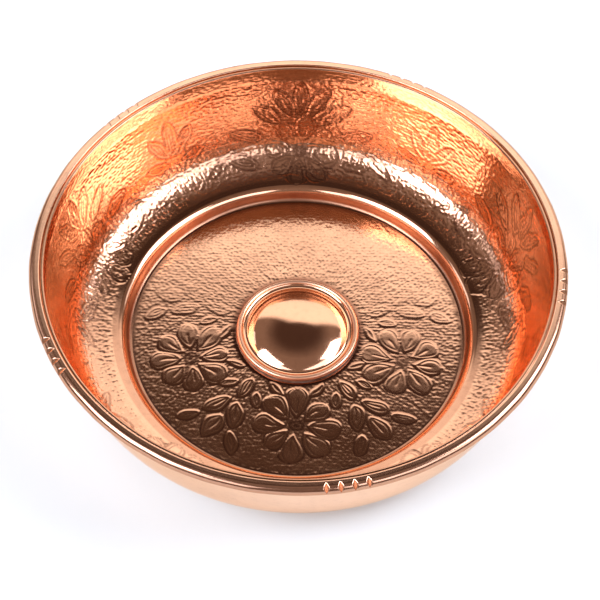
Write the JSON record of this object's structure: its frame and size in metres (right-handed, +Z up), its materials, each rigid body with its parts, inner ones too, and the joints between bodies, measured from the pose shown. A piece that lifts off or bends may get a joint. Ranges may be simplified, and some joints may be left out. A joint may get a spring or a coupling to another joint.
{
  "type": "tas hammam bowl",
  "caption": "Shallow copper bath bowl for pouring water, with a sunken chased floor, a domed centre boss and a notched bead round its rim.",
  "frame": {"origin": "centre of the flat base, on the surface that the bowl stands on", "axes": "+Z up along the bowl's axis, -Y towards the viewer in the picture"},
  "size_m": [0.19, 0.19, 0.05],
  "materials": {
    "shell_copper": "polished copper with a chased, matted inside",
    "bead_copper": "polished copper wire, hand filed",
    "boss_copper": "mirror polished copper",
    "solder": "dull tarnished solder"
  },
  "bodies": {
    "root": {"bowl_shell": "shell_copper", "rim_bead": "bead_copper", "rim_solder": "solder", "boss_cap": "boss_copper", "boss_ring": "boss_copper", "boss_solder": "solder"}
  },
  "joints": []
}
